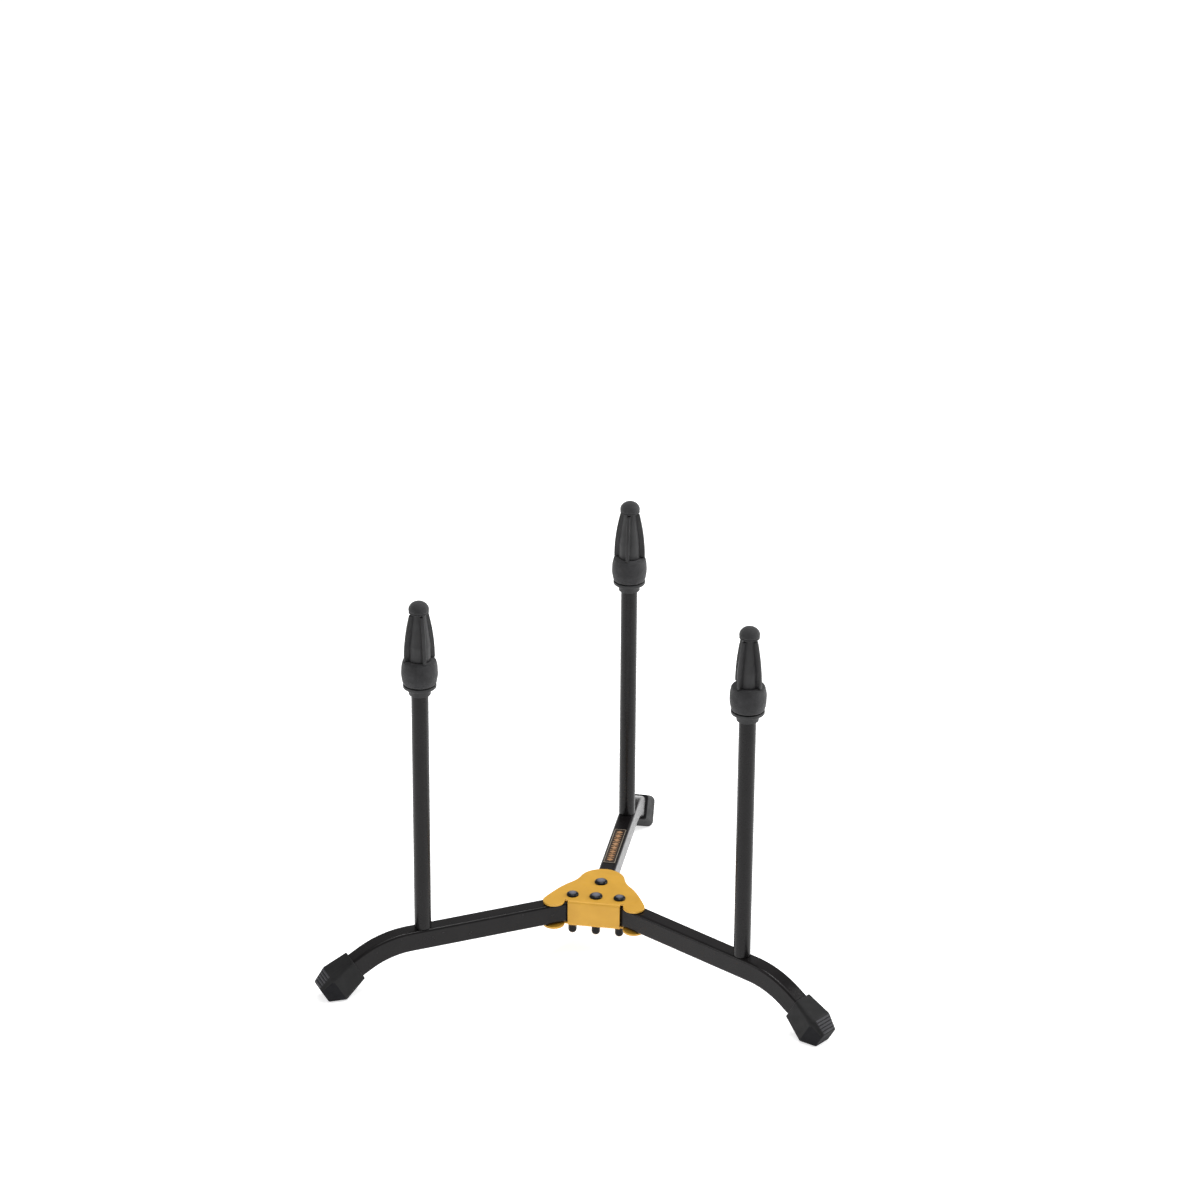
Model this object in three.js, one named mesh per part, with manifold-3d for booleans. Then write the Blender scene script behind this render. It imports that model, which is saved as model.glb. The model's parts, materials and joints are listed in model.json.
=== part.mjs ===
// A folding three-post stand for brass instruments: a bent sheet-metal hub, one fixed rear leg, two front legs
// that swivel on their bolts, rubber boots, and three screw-in posts that carry padded pegs.
// Millimetres, +Z up. Parts are laid out from the centre bolt with the legs' top face at z = 0, and the whole
// stand is then moved so that its origin is the middle of its footprint on the floor.
import * as THREE from "three";
import { ConvexGeometry } from "three/addons/geometries/ConvexGeometry.js";
import { mergeVertices } from "three/addons/utils/BufferGeometryUtils.js";
import Module from "manifold-3d";

// Leg tube: rounded rectangular section, straight, then one bend down to the boot.
const LEG_WIDTH = 16;
const LEG_HEIGHT = 20;
const LEG_WALL = 1.5;
const LEG_CORNER_RADIUS = 2.6;
const LEG_HEEL = 8; // how far the tube runs on behind its bolt
const BEND_RADIUS = 86; // to the tube's centre line
const BEND_ANGLE = THREE.MathUtils.degToRad(30);
const BEND_STEPS = 8;
const BEND_AFTER_POST = 13.6;
const TOE_LENGTH = 34; // straight end that the boot slides over

// Where the legs and bolts stand.
const PIVOT_X = 22;
const REAR_BOLT_Y = 28.4;
const FRONT_LEG_ANGLE = THREE.MathUtils.degToRad(32.2); // each front leg points this far forward of the X axis
const FRONT_POST_REACH = 147.8; // bolt axis to post axis
const REAR_POST_REACH = 177.8;

// Hub: one sheet bent into a C round the legs' inner ends.
const SHEET = 2;
const WASHER_THICKNESS = 0.6;
const FACE_GAP = 0.1; // between flat faces that bear on each other
const PLATE_BOTTOM = WASHER_THICKNESS + 2 * FACE_GAP; // top plate's underside, above the leg
const HUB_TOP = PLATE_BOTTOM + SHEET;
const HUB_BOTTOM = -LEG_HEIGHT - HUB_TOP;
const WALL_HALF_WIDTH = 24.4;
const WALL_Y = -13.4; // the front wall's outer face
const FOLD_RADIUS = 2.6; // outside of the two folds
const FOLD_BACK_Y = -9; // where the folded strip joins the plates
const FOLD_OVERLAP = 1; // the plates run this far into the folded strip
const SIDE_LOBE = { x: 37.5, y: -12.5, radius: 10, from: 165, to: 383 }; // angles in degrees
const REAR_LOBE = { y: 34, radius: 21.2, from: 12 };
const SHOULDER = { x: 28.5, y: 24 }; // where the edge turns from the side lobe's sweep into the rear lobe's
const SIDE_PULL = { x: 36.6, y: 15.2 }; // the two sweeps' control points
const REAR_PULL = { x: 22.9, y: 30 };

// Fasteners.
const FIT_GAP = 0.3;
const SHANK_RADIUS = 2.5;
const NECK_SIDE = 5; // square neck that keeps the bolt from turning
const HEAD_HEIGHT = 3;
const HEAD_RIM = 0.6;
const PIVOT_HEAD_RADIUS = 5.6;
const FIXED_HEAD_RADIUS = 6.1;
const NUT_ACROSS_CORNERS = 9.6;
const NUT_HEX_HEIGHT = 4.4;
const NUT_HEIGHT = 13.6;
const NUT_DOME_RADIUS = 4;
const WASHER_RADIUS = 7.5;
const SLEEVE_RADIUS = 4.5;

// Posts and pegs. Heights are above the legs' top face.
const POST_RADIUS = 7.75;
const POST_WALL = 1.25;
const POST_TOP = 284;
const INSERT = { bore: 4.1, radius: 5.5, flangeRadius: 6.2, flangeTop: 0.9, depth: 16 };
const STUD = { radius: 3.8, length: 14, chamfer: 0.8, plugTop: 18 };
const PEG_BOTTOM = 236;
const PEG_SLEEVE_RADIUS = 10;
const FLANGE = { bottom: 243, top: 246, radius: 15 };
const PAD = { bottom: 246.3, top: 269.7, radius: 16.8, endRadius: 15 };
const FIN = { bottom: 270, top: 314, reach: 14.6, topReach: 9, thickness: 3.2 };
const SPIRE_TOP = 315;
const BOSS = { radius: 4, top: 321 };
const TIP = { bottom: 315.3, top: 326, radius: 9.3, straight: 3 };

// Rubber boot, in its own frame: x along the leg's toe from the end of the bend, z up from the toe's axis.
const BOOT_MOUTH = { x: 10.4, halfWidth: 9.9, top: 12.1, bottom: -12.1, corner: 2 };
const BOOT_WIDEST = { x: 35, halfWidth: 13.6, top: 12.9, bottom: -18.2, corner: 3.4 };
const BOOT_END_DEPTH = 14.5; // from the widest ring to the end face
const BOOT_END = {
  x: BOOT_WIDEST.x + BOOT_END_DEPTH,
  halfWidth: 9.9,
  top: 7.3,
  bottom: BOOT_WIDEST.bottom + BOOT_END_DEPTH * Math.tan(BEND_ANGLE), // so that the sole lies flat
  corner: 2,
};

// Name plate stuck on the rear leg.
const LABEL = { width: 11.6, length: 69, thickness: 0.4, centreY: 107 };

const SIDES = 16; // facets round a small turned part
const POST_SIDES = 24;

const wasm = await Module();
wasm.setup();

const MATERIALS = {
  hub: material(0xdea83e, 0.42, 0.35),
  powderCoat: material(0x353233, 0.45, 0.3),
  post: material(0x323031, 0.35, 0.3),
  rubber: material(0x2c2c2d, 0.8, 0),
  blackSteel: material(0x1c1c20, 0.3, 0.6),
  zincSteel: material(0xb4b6ba, 0.35, 0.9),
  nylon: material(0xd8d4c8, 0.6, 0),
  mouldedPlastic: material(0x1f1f20, 0.5, 0),
  foam: material(0x262627, 0.95, 0),
  label: material(0x2a1c10, 0.4, 0.4),
};

function material(color, roughness, metalness) {
  return new THREE.MeshStandardMaterial({ color, roughness, metalness });
}

function toSolid(geometry) {
  const bare = geometry.clone();
  bare.deleteAttribute("normal");
  bare.deleteAttribute("uv");
  const merged = mergeVertices(bare, 1e-4);
  const triVerts = new Uint32Array(merged.index.array);
  return new wasm.Manifold(
    new wasm.Mesh({ numProp: 3, vertProperties: merged.attributes.position.array, triVerts }),
  );
}

function toGeometry(solid) {
  const mesh = solid.getMesh();
  const geometry = new THREE.BufferGeometry();
  geometry.setAttribute("position", new THREE.BufferAttribute(mesh.vertProperties, 3));
  geometry.setIndex(new THREE.BufferAttribute(mesh.triVerts, 1));
  return geometry;
}

function join(first, ...others) {
  return toGeometry(others.reduce((sum, other) => sum.add(toSolid(other)), toSolid(first)));
}

function cut(body, ...tools) {
  return toGeometry(tools.reduce((rest, tool) => rest.subtract(toSolid(tool)), toSolid(body)));
}

function named(name, geometry, look) {
  const mesh = new THREE.Mesh(geometry, look);
  mesh.name = name;
  return mesh;
}

// A turned part about the Z axis from [radius, z] pairs.
function turned(profile, sides = SIDES) {
  const points = profile.map(([radius, z]) => new THREE.Vector2(radius, z));
  return new THREE.LatheGeometry(points, sides).rotateX(Math.PI / 2);
}

function rod(radius, bottom, top, sides = SIDES) {
  return turned([[0, bottom], [radius, bottom], [radius, top], [0, top]], sides);
}

function ring(bore, radius, bottom, top, sides = SIDES) {
  return turned([[bore, bottom], [radius, bottom], [radius, top], [bore, top], [bore, bottom]], sides);
}

// [radius, z] pairs along a quarter of an ellipse, from its widest ring up (or down) to its pole.
function domeProfile(radius, rimZ, poleZ, steps = 5) {
  return Array.from({ length: steps + 1 }, (_, i) => {
    const angle = ((Math.PI / 2) * i) / steps;
    const reach = i === steps ? 0 : radius * Math.cos(angle);
    return [reach, rimZ + (poleZ - rimZ) * Math.sin(angle)];
  });
}

function roundedRectangle(path, halfX, halfY, corner) {
  path.moveTo(halfX, -halfY + corner);
  path.lineTo(halfX, halfY - corner);
  path.absarc(halfX - corner, halfY - corner, corner, 0, Math.PI / 2);
  path.lineTo(-halfX + corner, halfY);
  path.absarc(-halfX + corner, halfY - corner, corner, Math.PI / 2, Math.PI);
  path.lineTo(-halfX, -halfY + corner);
  path.absarc(-halfX + corner, -halfY + corner, corner, Math.PI, 1.5 * Math.PI);
  path.lineTo(halfX - corner, -halfY);
  path.absarc(halfX - corner, -halfY + corner, corner, 1.5 * Math.PI, 2 * Math.PI);
  return path;
}

// The centre line of a leg: one straight step, the bend, and one straight step for the toe.
class LegAxis extends THREE.Curve {
  constructor(bendStart) {
    super();
    this.bendStart = bendStart;
    this.steps = BEND_STEPS + 2;
  }

  turnAt(step) {
    return BEND_ANGLE * THREE.MathUtils.clamp((step - 1) / BEND_STEPS, 0, 1);
  }

  getPoint(t, target = new THREE.Vector3()) {
    const step = t * this.steps;
    const turn = this.turnAt(step);
    const behind = Math.max(0, 1 - step) * (this.bendStart + LEG_HEEL);
    const beyond = Math.max(0, step - 1 - BEND_STEPS) * TOE_LENGTH;
    return target.set(
      this.bendStart - behind + BEND_RADIUS * Math.sin(turn) + beyond * Math.cos(turn),
      0,
      -LEG_HEIGHT / 2 - BEND_RADIUS * (1 - Math.cos(turn)) - beyond * Math.sin(turn),
    );
  }

  getTangent(t, target = new THREE.Vector3()) {
    const turn = this.turnAt(t * this.steps);
    return target.set(Math.cos(turn), 0, -Math.sin(turn));
  }

  getUtoTmapping(u) {
    return u; // each step of the sweep is one step of this curve
  }
}

// A leg tube along +X, its first bolt at the origin, its top face at z = 0.
function legTube(postReach, boltReaches) {
  const section = roundedRectangle(new THREE.Shape(), LEG_HEIGHT / 2, LEG_WIDTH / 2, LEG_CORNER_RADIUS);
  const hollow = roundedRectangle(
    new THREE.Path(),
    LEG_HEIGHT / 2 - LEG_WALL,
    LEG_WIDTH / 2 - LEG_WALL,
    LEG_CORNER_RADIUS - LEG_WALL,
  );
  section.holes.push(hollow);
  const axis = new LegAxis(postReach + BEND_AFTER_POST);
  const tube = new THREE.ExtrudeGeometry(section, { steps: axis.steps, curveSegments: 2, extrudePath: axis });
  const sleeveHoles = boltReaches.map((reach) =>
    rod(SLEEVE_RADIUS + FIT_GAP, -LEG_HEIGHT - 1, 1).translate(reach, 0, 0),
  );
  const postHole = rod(INSERT.radius + FIT_GAP, -LEG_HEIGHT / 2, 1).translate(postReach, 0, 0);
  return cut(tube, ...sleeveHoles, postHole);
}

// One ring of a boot's outer skin: a rectangle with its corners taken off.
function bootSection({ x, halfWidth, top, bottom, corner }) {
  const points = [];
  for (const side of [-1, 1]) {
    for (const z of [top, bottom]) {
      points.push(new THREE.Vector3(x, side * halfWidth, z - Math.sign(z) * corner));
      points.push(new THREE.Vector3(x, side * (halfWidth - corner), z));
    }
  }
  return points;
}

function footBoot() {
  const skin = new ConvexGeometry([BOOT_MOUTH, BOOT_WIDEST, BOOT_END].flatMap(bootSection));
  const pocketSection = roundedRectangle(
    new THREE.Shape(),
    LEG_HEIGHT / 2 + FIT_GAP,
    LEG_WIDTH / 2 + FIT_GAP,
    LEG_CORNER_RADIUS + FIT_GAP,
  );
  const pocketStart = BOOT_MOUTH.x - 1;
  const pocket = new THREE.ExtrudeGeometry(pocketSection, {
    depth: TOE_LENGTH + FIT_GAP - pocketStart,
    bevelEnabled: false,
    curveSegments: 2,
  });
  pocket.rotateY(Math.PI / 2).translate(pocketStart, 0, 0);
  return cut(skin, pocket);
}

// Puts a boot on the toe of a leg whose post stands at postReach.
function bootOnToe(name, postReach) {
  const boot = named(name, footBoot(), MATERIALS.rubber);
  boot.rotation.y = BEND_ANGLE;
  boot.position.set(
    postReach + BEND_AFTER_POST + BEND_RADIUS * Math.sin(BEND_ANGLE),
    0,
    -LEG_HEIGHT / 2 - BEND_RADIUS * (1 - Math.cos(BEND_ANGLE)),
  );
  return boot;
}

// The right half of a hub plate's outline, from the middle of its front edge to the middle of its rear lobe.
function halfPlateOutline() {
  const lobeStart = THREE.MathUtils.degToRad(SIDE_LOBE.from);
  const rearLobeStart = THREE.MathUtils.degToRad(REAR_LOBE.from);
  const frontY = FOLD_BACK_Y - FOLD_OVERLAP;
  const path = new THREE.Path();
  path.moveTo(0, frontY);
  path.lineTo(SIDE_LOBE.x + SIDE_LOBE.radius * Math.cos(lobeStart), frontY);
  path.absarc(SIDE_LOBE.x, SIDE_LOBE.y, SIDE_LOBE.radius, lobeStart, THREE.MathUtils.degToRad(SIDE_LOBE.to));
  path.quadraticCurveTo(SIDE_PULL.x, SIDE_PULL.y, SHOULDER.x, SHOULDER.y);
  path.quadraticCurveTo(
    REAR_PULL.x,
    REAR_PULL.y,
    REAR_LOBE.radius * Math.cos(rearLobeStart),
    REAR_LOBE.y + REAR_LOBE.radius * Math.sin(rearLobeStart),
  );
  path.absarc(0, REAR_LOBE.y, REAR_LOBE.radius, rearLobeStart, Math.PI / 2);
  return path.getPoints(6);
}

function hubPlate(bottom) {
  const half = halfPlateOutline();
  const otherHalf = half.slice(1, -1).map(({ x, y }) => new THREE.Vector2(-x, y));
  const outline = new THREE.Shape([...half, ...otherHalf.reverse()]);
  return new THREE.ExtrudeGeometry(outline, { depth: SHEET, bevelEnabled: false }).translate(0, 0, bottom);
}

// The front wall and its two folds: a C-shaped section, drawn as (y, z) and drawn out along X.
function foldedWall() {
  const fold = new THREE.Shape();
  const inner = FOLD_RADIUS - SHEET;
  const centreY = WALL_Y + FOLD_RADIUS;
  const upperZ = HUB_TOP - FOLD_RADIUS;
  const lowerZ = HUB_BOTTOM + FOLD_RADIUS;
  fold.moveTo(FOLD_BACK_Y, HUB_TOP);
  fold.lineTo(centreY, HUB_TOP);
  fold.absarc(centreY, upperZ, FOLD_RADIUS, Math.PI / 2, Math.PI);
  fold.lineTo(WALL_Y, lowerZ);
  fold.absarc(centreY, lowerZ, FOLD_RADIUS, Math.PI, 1.5 * Math.PI);
  fold.lineTo(FOLD_BACK_Y, HUB_BOTTOM);
  fold.lineTo(FOLD_BACK_Y, HUB_BOTTOM + SHEET);
  fold.absarc(centreY, lowerZ, inner, 1.5 * Math.PI, Math.PI, true);
  fold.absarc(centreY, upperZ, inner, Math.PI, Math.PI / 2, true);
  fold.lineTo(FOLD_BACK_Y, HUB_TOP - SHEET);
  const wall = new THREE.ExtrudeGeometry(fold, {
    depth: 2 * WALL_HALF_WIDTH,
    bevelEnabled: false,
    curveSegments: 3,
  });
  // The section's x becomes +Y, its y becomes +Z, and its depth becomes +X.
  const turn = new THREE.Matrix4().makeBasis(
    new THREE.Vector3(0, 1, 0),
    new THREE.Vector3(0, 0, 1),
    new THREE.Vector3(1, 0, 0),
  );
  return wall.applyMatrix4(turn).translate(-WALL_HALF_WIDTH, 0, 0);
}

const BOLTS = [
  { name: "pivot_bolt_left", x: -PIVOT_X, y: 0, headRadius: PIVOT_HEAD_RADIUS },
  { name: "pivot_bolt_right", x: PIVOT_X, y: 0, headRadius: PIVOT_HEAD_RADIUS },
  { name: "centre_bolt", x: 0, y: 0, headRadius: FIXED_HEAD_RADIUS },
  { name: "rear_bolt", x: 0, y: REAR_BOLT_Y, headRadius: FIXED_HEAD_RADIUS },
];

function hubBracket() {
  const bracket = join(hubPlate(PLATE_BOTTOM), hubPlate(HUB_BOTTOM), foldedWall());
  const neckHole = NECK_SIDE + 2 * FIT_GAP;
  const necks = BOLTS.map(({ x, y }) =>
    new THREE.BoxGeometry(neckHole, neckHole, 2 * SHEET).translate(x, y, HUB_TOP - SHEET / 2),
  );
  const shanks = BOLTS.map(({ x, y }) =>
    rod(SHANK_RADIUS + FIT_GAP, HUB_BOTTOM - 1, HUB_BOTTOM + SHEET + 1).translate(x, y, 0),
  );
  return cut(bracket, ...necks, ...shanks);
}

// A domed coach bolt: head on the top plate, square neck in it, shank down into the cap nut.
function coachBolt(headRadius) {
  const seat = HUB_TOP + FACE_GAP;
  const shankEnd = HUB_BOTTOM - NUT_HEX_HEIGHT - 1;
  const turnedPart = turned([
    [0, shankEnd],
    [SHANK_RADIUS, shankEnd],
    [SHANK_RADIUS, seat],
    [headRadius, seat],
    ...domeProfile(headRadius, seat + HEAD_RIM, seat + HEAD_HEIGHT),
  ]);
  const neckBottom = HUB_TOP - SHEET + FACE_GAP;
  const neck = new THREE.BoxGeometry(NECK_SIDE, NECK_SIDE, seat - neckBottom + HEAD_RIM / 2);
  neck.translate(0, 0, (seat + HEAD_RIM / 2 + neckBottom) / 2);
  return join(turnedPart, neck);
}

function capNut() {
  const top = HUB_BOTTOM - FACE_GAP;
  const hexBottom = top - NUT_HEX_HEIGHT;
  const hex = new THREE.CylinderGeometry(NUT_ACROSS_CORNERS / 2, NUT_ACROSS_CORNERS / 2, NUT_HEX_HEIGHT, 6);
  hex.rotateX(Math.PI / 2).translate(0, 0, (top + hexBottom) / 2);
  const domeStart = top - NUT_HEIGHT + NUT_DOME_RADIUS;
  const dome = turned([
    ...domeProfile(NUT_DOME_RADIUS, domeStart, top - NUT_HEIGHT).reverse(),
    [NUT_DOME_RADIUS, top - 1],
    [0, top - 1],
  ]);
  const bore = rod(SHANK_RADIUS + FIT_GAP, hexBottom - 1.4, top + 1);
  return cut(join(hex, dome), bore);
}

function sleeve(standOut) {
  return ring(SHANK_RADIUS + FIT_GAP, SLEEVE_RADIUS, -LEG_HEIGHT - standOut, standOut);
}

function threadedInsert() {
  const { bore, radius, flangeRadius, flangeTop, depth } = INSERT;
  return turned([
    [bore, -depth],
    [radius, -depth],
    [radius, FACE_GAP],
    [flangeRadius, FACE_GAP],
    [flangeRadius, flangeTop],
    [bore, flangeTop],
    [bore, -depth],
  ]);
}

// The plug pressed into the foot of a post, with the screw that goes into the leg's insert.
function postStud() {
  const plugRadius = POST_RADIUS - POST_WALL - FIT_GAP;
  const plugBottom = INSERT.flangeTop + FIT_GAP;
  return turned([
    [0, -STUD.length],
    [STUD.radius - STUD.chamfer, -STUD.length],
    [STUD.radius, -STUD.length + STUD.chamfer],
    [STUD.radius, plugBottom],
    [plugRadius, plugBottom],
    [plugRadius, STUD.plugTop],
    [0, STUD.plugTop],
  ]);
}

// The moulded peg: a sleeve over the post with a flange, four tapered fins and a boss for the soft tip.
function pegCore() {
  const boreRadius = POST_RADIUS + FIT_GAP;
  const boreTop = POST_TOP + FIT_GAP;
  const stem = turned(
    [
      [0, PEG_BOTTOM],
      [PEG_SLEEVE_RADIUS, PEG_BOTTOM],
      [PEG_SLEEVE_RADIUS, FLANGE.bottom],
      [FLANGE.radius, FLANGE.bottom],
      [FLANGE.radius, FLANGE.top],
      [PEG_SLEEVE_RADIUS, FLANGE.top],
      [PEG_SLEEVE_RADIUS, boreTop],
      [BOSS.radius + 2, SPIRE_TOP],
      [BOSS.radius, SPIRE_TOP],
      [BOSS.radius, BOSS.top],
      [0, BOSS.top],
    ],
    POST_SIDES,
  );
  const outline = new THREE.Shape();
  outline.moveTo(-FIN.reach, FIN.bottom);
  outline.lineTo(FIN.reach, FIN.bottom);
  outline.quadraticCurveTo(FIN.reach, (FIN.bottom + FIN.top) / 2, FIN.topReach, FIN.top);
  outline.lineTo(-FIN.topReach, FIN.top);
  outline.quadraticCurveTo(-FIN.reach, (FIN.bottom + FIN.top) / 2, -FIN.reach, FIN.bottom);
  const finPair = new THREE.ExtrudeGeometry(outline, {
    depth: FIN.thickness,
    bevelEnabled: false,
    curveSegments: 5,
  });
  finPair.translate(0, 0, -FIN.thickness / 2).rotateX(Math.PI / 2);
  const otherPair = finPair.clone().rotateZ(Math.PI / 2);
  return cut(join(stem, finPair, otherPair), rod(boreRadius, PEG_BOTTOM - 1, boreTop, POST_SIDES));
}

// The soft ring that the instrument's bell rests on.
function pegPad() {
  const bore = PEG_SLEEVE_RADIUS + FIT_GAP;
  const bulge = PAD.radius - PAD.endRadius;
  const middle = (PAD.bottom + PAD.top) / 2;
  const steps = 6;
  const outside = Array.from({ length: steps + 1 }, (_, i) => {
    const across = (2 * i) / steps - 1;
    return [PAD.endRadius + bulge * (1 - across * across), middle + (across * (PAD.top - PAD.bottom)) / 2];
  });
  return turned([[bore, PAD.bottom], ...outside, [bore, PAD.top], [bore, PAD.bottom]], POST_SIDES);
}

function pegTip() {
  const cap = turned([
    [0, TIP.bottom],
    [TIP.radius, TIP.bottom],
    ...domeProfile(TIP.radius, TIP.bottom + TIP.straight, TIP.top),
  ]);
  return cut(cap, rod(BOSS.radius + FIT_GAP, TIP.bottom - 1, BOSS.top + FIT_GAP));
}

function label() {
  const { width, length, thickness, centreY } = LABEL;
  return new THREE.BoxGeometry(width, length, thickness).translate(0, centreY, FACE_GAP + thickness / 2);
}

// One leg along +X with its boot, its insert and its post with the peg on top.
function legWithPost(side, postReach, boltReaches) {
  const leg = new THREE.Group();
  leg.add(named(`leg_tube_${side}`, legTube(postReach, boltReaches), MATERIALS.powderCoat));
  leg.add(bootOnToe(`foot_boot_${side}`, postReach));
  const post = new THREE.Group();
  post.add(
    named(`post_insert_${side}`, threadedInsert(), MATERIALS.zincSteel),
    named(`post_stud_${side}`, postStud(), MATERIALS.zincSteel),
    named(
      `post_tube_${side}`,
      ring(POST_RADIUS - POST_WALL, POST_RADIUS, FIT_GAP, POST_TOP, POST_SIDES),
      MATERIALS.post,
    ),
    named(`peg_core_${side}`, pegCore(), MATERIALS.mouldedPlastic),
    named(`peg_pad_${side}`, pegPad(), MATERIALS.foam),
    named(`peg_tip_${side}`, pegTip(), MATERIALS.foam),
  );
  post.position.x = postReach;
  leg.add(post);
  return leg;
}

function hub() {
  const group = new THREE.Group();
  group.add(named("hub_bracket", hubBracket(), MATERIALS.hub));
  for (const { name, x, y, headRadius } of BOLTS) {
    const bolt = named(name, coachBolt(headRadius), MATERIALS.blackSteel);
    const nut = named(name.replace("bolt", "nut"), capNut(), MATERIALS.blackSteel);
    const turns = name.startsWith("pivot");
    const standOut = turns ? -FACE_GAP : WASHER_THICKNESS + FACE_GAP;
    const spacer = named(name.replace("bolt", "sleeve"), sleeve(standOut), MATERIALS.zincSteel);
    group.add(bolt, nut, spacer);
    if (turns) {
      const washer = ring(SHANK_RADIUS + FIT_GAP, WASHER_RADIUS, FACE_GAP, FACE_GAP + WASHER_THICKNESS);
      const lower = washer.clone().translate(0, 0, -LEG_HEIGHT - 2 * FACE_GAP - WASHER_THICKNESS);
      const upperWasher = named(name.replace("bolt", "washer_upper"), washer, MATERIALS.nylon);
      const lowerWasher = named(name.replace("bolt", "washer_lower"), lower, MATERIALS.nylon);
      upperWasher.position.set(x, y, 0);
      lowerWasher.position.set(x, y, 0);
      group.add(upperWasher, lowerWasher);
    }
    for (const piece of [bolt, nut, spacer]) piece.position.set(x, y, 0);
  }
  group.add(named("leg_label", label(), MATERIALS.label));
  return group;
}

const stand = new THREE.Group();
const leftLeg = legWithPost("left", FRONT_POST_REACH, [0]);
leftLeg.position.x = -PIVOT_X;
leftLeg.rotation.z = Math.PI + FRONT_LEG_ANGLE;
const rightLeg = legWithPost("right", FRONT_POST_REACH, [0]);
rightLeg.position.x = PIVOT_X;
rightLeg.rotation.z = -FRONT_LEG_ANGLE;
const rearLeg = legWithPost("rear", REAR_POST_REACH, [0, REAR_BOLT_Y]);
rearLeg.rotation.z = Math.PI / 2;
stand.add(hub(), leftLeg, rightLeg, rearLeg);

const box = new THREE.Box3().setFromObject(stand, true);
stand.position.set(-(box.min.x + box.max.x) / 2, -(box.min.y + box.max.y) / 2, -box.min.z);

export default stand;
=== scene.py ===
"""Looks for a folding three-post stand for brass instruments.

Each piece is drawn in millimetres, in the frame of the leg, post or hub that it belongs to, and is
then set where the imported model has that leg, post or hub. Heights are above the top face of the legs.
"""
import json
import math

import bmesh
import bpy
from mathutils import Matrix, Vector, noise


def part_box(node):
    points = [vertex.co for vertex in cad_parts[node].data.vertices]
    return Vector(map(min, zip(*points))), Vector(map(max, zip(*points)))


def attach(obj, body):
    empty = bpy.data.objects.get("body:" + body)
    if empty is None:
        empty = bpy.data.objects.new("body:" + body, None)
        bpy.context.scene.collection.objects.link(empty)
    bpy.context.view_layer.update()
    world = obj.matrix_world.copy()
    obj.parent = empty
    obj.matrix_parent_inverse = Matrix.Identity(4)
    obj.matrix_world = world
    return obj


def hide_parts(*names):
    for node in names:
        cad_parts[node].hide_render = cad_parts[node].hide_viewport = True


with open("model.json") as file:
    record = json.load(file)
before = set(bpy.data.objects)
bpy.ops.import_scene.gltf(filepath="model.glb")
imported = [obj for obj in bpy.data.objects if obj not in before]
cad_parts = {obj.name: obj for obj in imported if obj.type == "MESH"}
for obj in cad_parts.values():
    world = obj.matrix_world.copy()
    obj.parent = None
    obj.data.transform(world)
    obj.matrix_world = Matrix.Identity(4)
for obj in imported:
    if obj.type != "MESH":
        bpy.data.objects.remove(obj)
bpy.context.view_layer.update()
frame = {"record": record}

MM = 0.001
SIDES = ("left", "right", "rear")
CLEARANCE = 0.3  # between a hole and what goes into it
CUT_PAST = 1  # how far a cutting shape stands out of the surface that it cuts

# Leg tube: a rounded rectangular section that runs straight, bends down and ends in the boot.
LEG_WIDTH = 16
LEG_HEIGHT = 20
LEG_WALL = 1.5
LEG_CORNER = 2.6
LEG_HEEL = 8
LEG_END_EDGE = 0.3
BEND_RADIUS = 86
BEND_ANGLE = math.radians(30)
BEND_STEPS = 28
BEND_AFTER_POST = 13.6
TOE_LENGTH = 34

# Hub: a sheet bent into a C.
SHEET = 2
HUB_TOP = 2.8
HUB_BOTTOM = -LEG_HEIGHT - HUB_TOP
WALL_HALF_WIDTH = 24.4
WALL_Y = -13.4
FOLD_RADIUS = 2.6
SHEET_EDGE = 0.32
NOTCH_Y = -10
SIDE_LOBE = {"x": 37.5, "y": -12.5, "radius": 10, "from": 165, "to": 383}
REAR_LOBE = {"y": 34, "radius": 21.2, "from": 12}
SHOULDER = (28.5, 24)
SIDE_PULL = (36.6, 15.2)
REAR_PULL = (22.9, 30)

# Fasteners.
GAP = 0.1
SHANK_RADIUS = 2.5
SHANK_HOLE = 2.8
HEAD_HEIGHT = 3
HEAD_RIM = 0.6
NUT_ACROSS_CORNERS = 9.6
NUT_HEX_HEIGHT = 4.4
NUT_HEIGHT = 13.6
NUT_DOME_RADIUS = 4
NUT_EDGE = 0.45
WASHER_THICKNESS = 0.6
WASHER_RADIUS = 7.5
SLEEVE_RADIUS = 4.5
BOLT_POINT = 1  # how far a bolt reaches into the dome of its nut
HEAD_RADIUS = {
    "pivot_bolt_left": 5.6, "pivot_bolt_right": 5.6, "centre_bolt": 6.1, "rear_bolt": 6.1,
}

# Posts, their screws and the pegs on top.
POST_RADIUS = 7.75
POST_WALL = 1.25
POST_BOTTOM = 0.3
POST_TOP = 284
INSERT = {"bore": 4.1, "radius": 5.5, "flange": 6.2, "top": 0.9, "depth": 16}
STUD = {
    "radius": 3.8, "length": 14, "chamfer": 0.8, "pitch": 1.25, "thread": 0.55,
    "plug_bottom": 1.2, "plug_top": 18,
}
PEG_BOTTOM = 236
PEG_SLEEVE_RADIUS = 10
PEG_BORE_TOP = 284.3
FLANGE = {"bottom": 243, "top": 246, "radius": 15}
PAD = {
    "bottom": 246.3, "top": 269.7, "radius": 16.8, "end": 15, "set_in": 0.35,
    "round_from": 0.86, "round_depth": 1.6, "seam_depth": 0.9, "seam_width": 0.022,
}
FIN = {"bottom": 270, "top": 314, "reach": 14.6, "top_reach": 9, "thickness": 3.2, "edge": 0.9}
SPIRE_TOP = 315
BOSS = {"radius": 4, "top": 321}
TIP = {
    "bottom": 315.3, "top": 326, "radius": 9.3, "straight": 3,
    "groove_low": 1.1, "groove_high": 2.1, "groove_depth": 0.6,
}

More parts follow.
